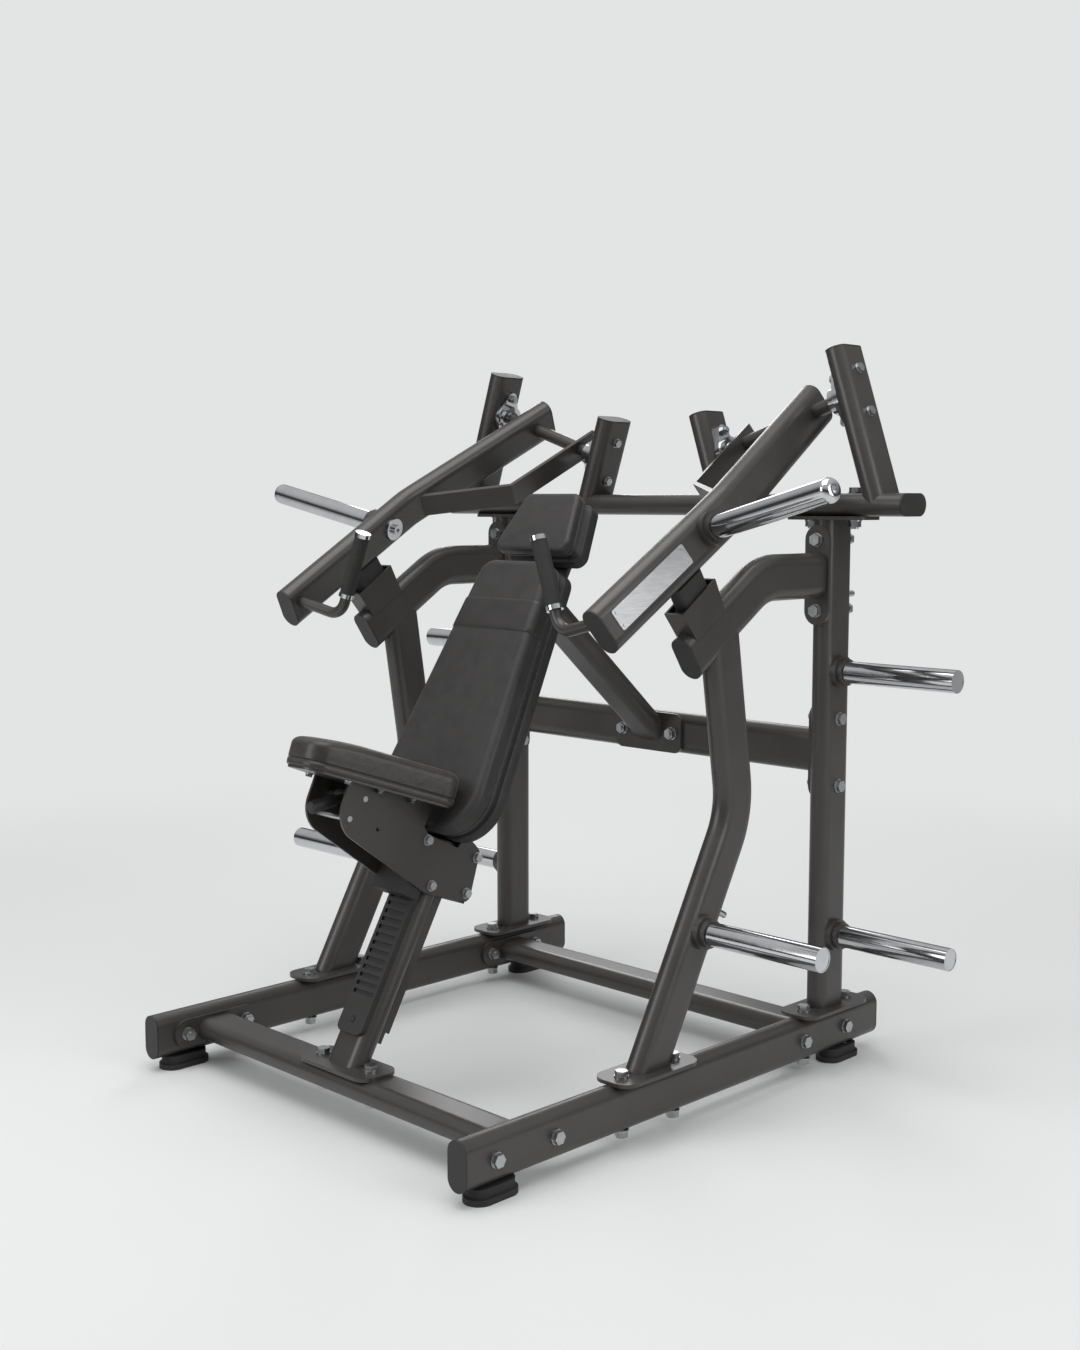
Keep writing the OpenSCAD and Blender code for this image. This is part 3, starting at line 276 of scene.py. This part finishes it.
def ring_stack(points, normals, rings, middle, shrink):
    """Vertices of a closed pad. rings is a list of (inset, height): each ring is the outline
    moved in by inset. shrink is (scales, heights) for the face, and the first ring is closed
    with scales of its own the same way, flat."""
    inset, height = np.array(rings, float).T
    wall = points[None] - normals[None] * inset[:, None, None]
    wall = np.dstack([wall, np.broadcast_to(height[:, None, None], wall.shape[:2] + (1,))])
    scale, lift = shrink
    core = np.array(middle, float)
    last = wall[-1, :, :2]
    face = core + (last - core)[None] * scale[:, None, None]
    face = np.dstack([face, np.broadcast_to(lift[:, None, None], face.shape[:2] + (1,))])
    under_scale = np.linspace(0.08, 1, 12)[:-1]
    first = wall[0, :, :2]
    under = core + (first - core)[None] * under_scale[:, None, None]
    under = np.dstack([under, np.full(under.shape[:2] + (1,), height[0])])
    return np.concatenate([under, wall, face])


def closed_rings(name, grid, place, material, body, nodes):
    """A mesh from stacked rings, joined by quads, with one fan at each end. place turns it
    into the row frame. A negative volume means that the faces point inwards, so they are
    turned round."""
    rows, cols = grid.shape[:2]
    verts = grid.reshape(-1, 3)
    ends = np.array([grid[0].mean(axis=0), grid[-1].mean(axis=0)])
    verts = np.vstack([verts, ends])
    i = np.arange(cols)
    j = (i + 1) % cols
    r = np.arange(rows - 1)[:, None] * cols
    quads = np.stack([r + i, r + j, r + cols + j, r + cols + i], axis=-1).reshape(-1, 4)
    low = np.stack([j, i, np.full(cols, rows * cols)], axis=-1)
    top = (rows - 1) * cols
    high = np.stack([top + i, top + j, np.full(cols, rows * cols + 1)], axis=-1)
    faces = quads.tolist() + low.tolist() + high.tolist()
    a, b, c, d = (verts[quads[:, n]] for n in range(4))
    if np.einsum("ij,ij->", a, np.cross(b, c) + np.cross(c, d)) < 0:
        faces = [face[::-1] for face in faces]
    turned = np.array(place.to_3x3()) @ verts.T + np.array(place.translation)[:, None]
    mesh = bpy.data.meshes.new(name)
    mesh.from_pydata(turned.T.tolist(), [], faces)
    mesh.polygons.foreach_set("use_smooth", np.ones(len(mesh.polygons), bool))
    mesh.materials.append(material)
    mesh.update()
    piece = bpy.data.objects.new(name, mesh)
    bpy.context.scene.collection.objects.link(piece)
    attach(piece, body)
    if nodes:
        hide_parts(*nodes)
    print(name, "size, mm:", np.round((turned.max(axis=1) - turned.min(axis=1)) * 1000).astype(int))
    return piece


def rounded_edge(inset, bottom, top, power=2.0, steps=14):
    """A quarter superellipse from (0, bottom) to (inset, top), as ring pairs."""
    t = np.linspace(0, math.pi / 2, steps)
    run = inset * (1 - np.cos(t) ** (2 / power))
    rise = bottom + (top - bottom) * np.sin(t) ** (2 / power)
    return list(zip(run, rise))


def crowned(top, rise, dish=0.0, steps=22):
    """Face rings: the middle stands rise above the rim and then dips by dish."""
    t = np.linspace(1, 0.02, steps)[1:]
    return t, top + rise * (1 - t ** 2) - dish * (1 - t ** 2) ** 2


# %% [markdown]
# The back pad is a long board with foam on it and a cover sewn along one line. The cover is
# pulled tight over the board's edge, which leaves a groove where the seam runs. Behind the
# cushion there is a narrow recess, then the shell that closes the pad's back.

# %% Back pad
BACK_HALF, BACK_LEN, BACK_SOFT, BACK_RECESS, BACK_DEEP = 0.164, 0.644, 0.054, 0.011, 0.095
back_points, back_normals = outline([
    (BACK_HALF - 0.091, -0.040, 0.040), (0.091 - BACK_HALF, -0.040, 0.040),
    (0.095 - BACK_HALF, 0.095 - BACK_LEN, 0.095), (BACK_HALF - 0.095, 0.095 - BACK_LEN, 0.095)])


def seam(height, deep=0.0022, half=0.0016):
    """Ring pairs of a sewn groove: the wall goes in by deep and comes out again."""
    u = np.linspace(-1, 1, 7)
    return list(zip(deep * (1 - u * u), height + half * u))


def cushion_rings(low, high, edge, seam_at, face_drop):
    """A cushion's wall: tucked in under, bulged a little, sewn once, then a soft front edge."""
    wall = [(0.004, low), (0.0022, low + 0.0008), (0.0010, low + 0.0022), (0.0003, low + 0.0045)]
    wall += seam(seam_at)
    wall += [(0.0002, seam_at + 0.004), (0.0, seam_at + 0.008)]
    return wall + rounded_edge(edge, high - face_drop - edge * 0.86, high - face_drop, power=2.2)


BACK_EDGE = 0.020
back_rings = cushion_rings(-BACK_SOFT, 0, BACK_EDGE, -BACK_SOFT + 0.011, 0.004)
back_middle = (0, -BACK_LEN / 2)
back_place = back_frame @ stand_up
back_cushion = closed_rings(
    "back_pad_cushion", ring_stack(back_points, back_normals, back_rings, back_middle,
                                   crowned(-0.004, 0.0038)),
    back_place, pad_grain, "frame", ["back_cushion"])

# %% [markdown]
# The shell is thinner than the cushion and wrapped in plain vinyl. The recess in front of it is
# a straight wall 10 mm further in, so the pad reads as two layers with a dark line between.

# %% Shells behind the pads
STEP_IN = 0.010


def shell_rings(front, recess, back):
    """From the back of the pad forwards: a rounded back edge, the wall, a rounded front edge,
    then the recess wall that meets the cushion."""
    lip = 0.004
    wall = [(0.006, back), (0.003, back + 0.0008), (0.0010, back + 0.0028), (0, back + 0.006)]
    edge = front - recess
    wall += [(0, edge - lip), (0.0010, edge - 0.0016), (0.003, edge - 0.0004), (STEP_IN, edge)]
    return wall + [(STEP_IN, front - 0.001), (STEP_IN + 0.001, front - 0.0003)]


def flat(height, steps=6):
    return np.linspace(1, 0.05, steps)[1:], np.full(steps - 1, height)


closed_rings(
    "back_pad_shell", ring_stack(back_points, back_normals,
                                 shell_rings(-BACK_SOFT, BACK_RECESS, -BACK_DEEP), back_middle,
                                 flat(-BACK_SOFT - 0.0003)),
    back_place, shell_skin, "frame", ["back_shell"])

HEAD_HALF, HEAD_LEN, HEAD_SOFT, HEAD_RECESS, HEAD_DEEP = 0.114, 0.154, 0.036, 0.020, 0.087
head_points, head_normals = outline([
    (HEAD_HALF - 0.024, 0.024, 0.024), (HEAD_HALF - 0.050, HEAD_LEN - 0.024, 0.024),
    (0.050 - HEAD_HALF, HEAD_LEN - 0.024, 0.024), (0.024 - HEAD_HALF, 0.024, 0.024)])
head_middle = (0, HEAD_LEN / 2)
head_place = head_frame @ stand_up
head_cushion = closed_rings(
    "head_pad_cushion", ring_stack(head_points, head_normals,
                                   cushion_rings(-HEAD_SOFT, 0, 0.013, -HEAD_SOFT + 0.009, 0.003),
                                   head_middle, crowned(-0.003, 0.0028)),
    head_place, pad_grain, "frame", ["head_cushion"])
closed_rings(
    "head_pad_shell", ring_stack(head_points, head_normals,
                                 shell_rings(-HEAD_SOFT, HEAD_RECESS, -HEAD_DEEP), head_middle,
                                 flat(-HEAD_SOFT - 0.0003)),
    head_place, shell_skin, "frame", ["head_shell"])

# %% [markdown]
# A smooth strip of the same leather is glued across the upper back pad and folded over its
# sides. It is left bare. It follows the cushion's own section, a little proud of it, and its
# two long edges dip into the grain.

# %% Band across the back pad
BAND_TOP, BAND_WIDE = -0.100, 0.077


def strip_over(points, rings, rim, rise, middle, lows, highs):
    """Loops round a strip's section, one for each step along its way over the pad. The way is
    the wall's rings, then the face out to the middle, then the same mirrored. Each loop goes
    along the outside from low to high edge and back along the inside."""
    right = points[points[:, 0] > 0]
    order = np.argsort(right[:, 1])
    across = np.linspace(lows, highs, 24)
    half = np.interp(across, right[order, 1], right[order, 0])
    inset, height = np.array(rings, float).T
    keep = height > rings[0][1] + 0.006
    inset, height = inset[keep], height[keep]
    slope = np.gradient(np.stack([-inset, height]), axis=1)
    normal = np.stack([slope[1], -slope[0]])
    normal /= np.linalg.norm(normal, axis=0)
    share = np.linspace(1, 0, 18)[1:]
    edge_dip = 1 - (np.abs(np.linspace(-1, 1, 24)) ** 14)
    off_out = 0.0004 + 0.0020 * edge_dip
    off_in = np.full(24, -0.0016)
    sections = []
    for off in (off_out, off_in):
        wall_x = half[None] - inset[:, None] + normal[0][:, None] * off[None]
        wall_h = height[:, None] + normal[1][:, None] * off[None]
        flat_half = half - inset[-1]
        face_x = share[:, None] * flat_half[None]
        deep = np.maximum(share[:, None], np.abs(across - middle)[None] / abs(middle))
        face_h = rim + rise * (1 - deep ** 2) + off[None]
        x = np.vstack([wall_x, face_x])
        h = np.vstack([wall_h, face_h])
        x = np.vstack([x, -x[-2::-1]])
        h = np.vstack([h, h[-2::-1]])
        sections.append(np.dstack([x, np.broadcast_to(across, x.shape), h]))
    return np.concatenate([sections[0], sections[1][:, ::-1]], axis=1)


closed_rings(
    "back_pad_band", strip_over(back_points, back_rings, -0.004, 0.0038, -BACK_LEN / 2,
                                BAND_TOP - BAND_WIDE, BAND_TOP),
    back_place, band_skin, "frame", ["back_band"])

# %% [markdown]
# The seat is a wedge-shaped cushion, wide at the hips and narrow between the knees. Use has
# pressed a shallow dish into the top, so the front edge and the sides stand up as a soft rim.

# %% Seat
SEAT_HALF, SEAT_NOSE, SEAT_LEN, SEAT_THICK = 0.132, 0.062, 0.340, 0.074
seat_points, seat_normals = outline([
    (SEAT_HALF - 0.030, -0.030, 0.030), (0.030 - SEAT_HALF, -0.030, 0.030),
    (0.045 - SEAT_NOSE, 0.045 - SEAT_LEN, 0.045), (SEAT_NOSE - 0.045, 0.045 - SEAT_LEN, 0.045)])
seat_rings = cushion_rings(0.0004, SEAT_THICK, 0.025, 0.016, 0.004)
seat_grid = ring_stack(seat_points, seat_normals, seat_rings, (0, -SEAT_LEN * 0.46),
                       crowned(SEAT_THICK - 0.004, 0.0075, dish=0.0115))
# The front of the top rolls down: height falls with the square of the distance past the knee.
past = np.clip((-SEAT_LEN * 0.62 - seat_grid[..., 1]) / (SEAT_LEN * 0.38), 0, 1)
high = np.clip(seat_grid[..., 2] / SEAT_THICK, 0, 1) ** 2
seat_grid[..., 2] -= 0.012 * past ** 2 * high
seat_cushion = closed_rings("seat_cushion_pad", seat_grid, seat_frame, seat_grain,
                            "carriage", ["seat_cushion"])

# %% [markdown]
# The machine stands in a photographer's room: a pale floor that fades far off into the pale colour of
# the room. The floor keeps the machine's soft shadow, and what the metal mirrors is the same pale
# room.

# %% Floor and room
ROOM = 14.0
floor_mesh = bpy.data.meshes.new("studio_floor")
across, along = np.meshgrid(np.linspace(-ROOM, ROOM, 3), np.linspace(-ROOM, ROOM, 3))
floor_points = np.stack([across, along, np.zeros_like(across)], axis=-1).reshape(-1, 3)
corner = np.array([0, 1, 3, 4])
floor_mesh.from_pydata(floor_points.tolist(), [], [(c, c + 1, c + 4, c + 3) for c in corner.tolist()])
floor = bpy.data.objects.new("studio_floor", floor_mesh)
bpy.context.scene.collection.objects.link(floor)

PALE = "#dcdddd"
ROOM_COLOUR = "#e3e4e4"
floor_paint = bpy.data.materials.new("matt_studio_floor")
floor_paint.use_nodes = True
tree = floor_paint.node_tree
matt = tree.nodes["Principled BSDF"]
matt.inputs["Base Color"].default_value = linear(PALE)
matt.inputs["Roughness"].default_value = 0.9
matt.inputs["Specular IOR Level"].default_value = 0.1
# Far from the machine the floor turns into the colour of the room, so no horizon shows.
here = add(tree, "ShaderNodeTexCoord")
away = add(tree, "ShaderNodeVectorMath", {"operation": "LENGTH"}, {0: (here, "Object")})
fade = add(tree, "ShaderNodeMapRange", {"From Min": 1.4, "From Max": 4.2, "interpolation_type":
                                        "SMOOTHSTEP"}, {"Value": (away, "Value")})
ray = add(tree, "ShaderNodeLightPath")
far_off = add(tree, "ShaderNodeMath", {"operation": "MULTIPLY"},
              {0: (fade, 0), 1: (ray, "Is Camera Ray")})
glow = add(tree, "ShaderNodeEmission", {"Color": linear(ROOM_COLOUR), "Strength": 1.0})
blend = add(tree, "ShaderNodeMixShader", {}, {0: (far_off, 0), 1: (matt, 0), 2: (glow, 0)})
tree.links.new(blend.outputs[0], tree.nodes["Material Output"].inputs["Surface"])
floor.data.materials.append(floor_paint)

world = bpy.data.worlds.new("pale_room")
bpy.context.scene.world = world
world.use_nodes = True
tree = world.node_tree
path_of_ray = add(tree, "ShaderNodeLightPath")
lit = tree.nodes["Background"]
lit.inputs["Strength"].default_value = 0.62
# Bright overhead, darker round the walls: this is what gives the chrome its dark streaks.
heading = add(tree, "ShaderNodeTexCoord")
height = add(tree, "ShaderNodeSeparateXYZ", {}, {0: (heading, "Generated")})
above = add(tree, "ShaderNodeMapRange", {"From Min": -1.0, "From Max": 1.0},
            {"Value": (height, 2)})
walls = ramp(tree, above, 0, [(0.36, "#c9cacb"), (0.47, "#5a5b5c"), (0.60, "#4c4d4e"),
                              (0.74, "#e8e9ea"), (0.90, "#ffffff")])
tree.links.new(walls.outputs[0], lit.inputs["Color"])
seen = add(tree, "ShaderNodeBackground", {"Color": linear(ROOM_COLOUR), "Strength": 1.0})
choose = add(tree, "ShaderNodeMixShader", {}, {0: (path_of_ray, "Is Camera Ray"), 1: (lit, 0),
                                               2: (seen, 0)})
tree.links.new(choose.outputs[0], tree.nodes["World Output"].inputs["Surface"])

# %% [markdown]
# Three soft boxes: a big one above and to the left of the camera, a weaker one on the right,
# and one behind that draws a light edge along the tubes. Large lamps give the wide, soft
# highlights that satin paint shows.

# %% Lamps
AIM = Vector((0, 0, 0.8))


def soft_box(name, spot, wide, tall, watts):
    lamp = bpy.data.lights.new(name, "AREA")
    lamp.shape = "RECTANGLE"
    lamp.size, lamp.size_y, lamp.energy = wide, tall, watts
    holder = bpy.data.objects.new(name, lamp)
    bpy.context.scene.collection.objects.link(holder)
    holder.location = spot
    holder.rotation_euler = (AIM - Vector(spot)).to_track_quat("-Z", "Y").to_euler()
    return holder


soft_box("overhead_box", (0.4, -0.6, 4.2), 3.2, 3.2, 85)
soft_box("left_box", (-1.2, -4.4, 2.4), 2.2, 2.6, 60)
soft_box("right_box", (4.6, 0.6, 2.2), 2.2, 2.6, 60)
soft_box("edge_box", (-2.8, 3.0, 2.6), 1.6, 2.2, 40)
print("soft boxes:", 4)

# %% Finish
bpy.context.scene.view_settings.view_transform = "Standard"
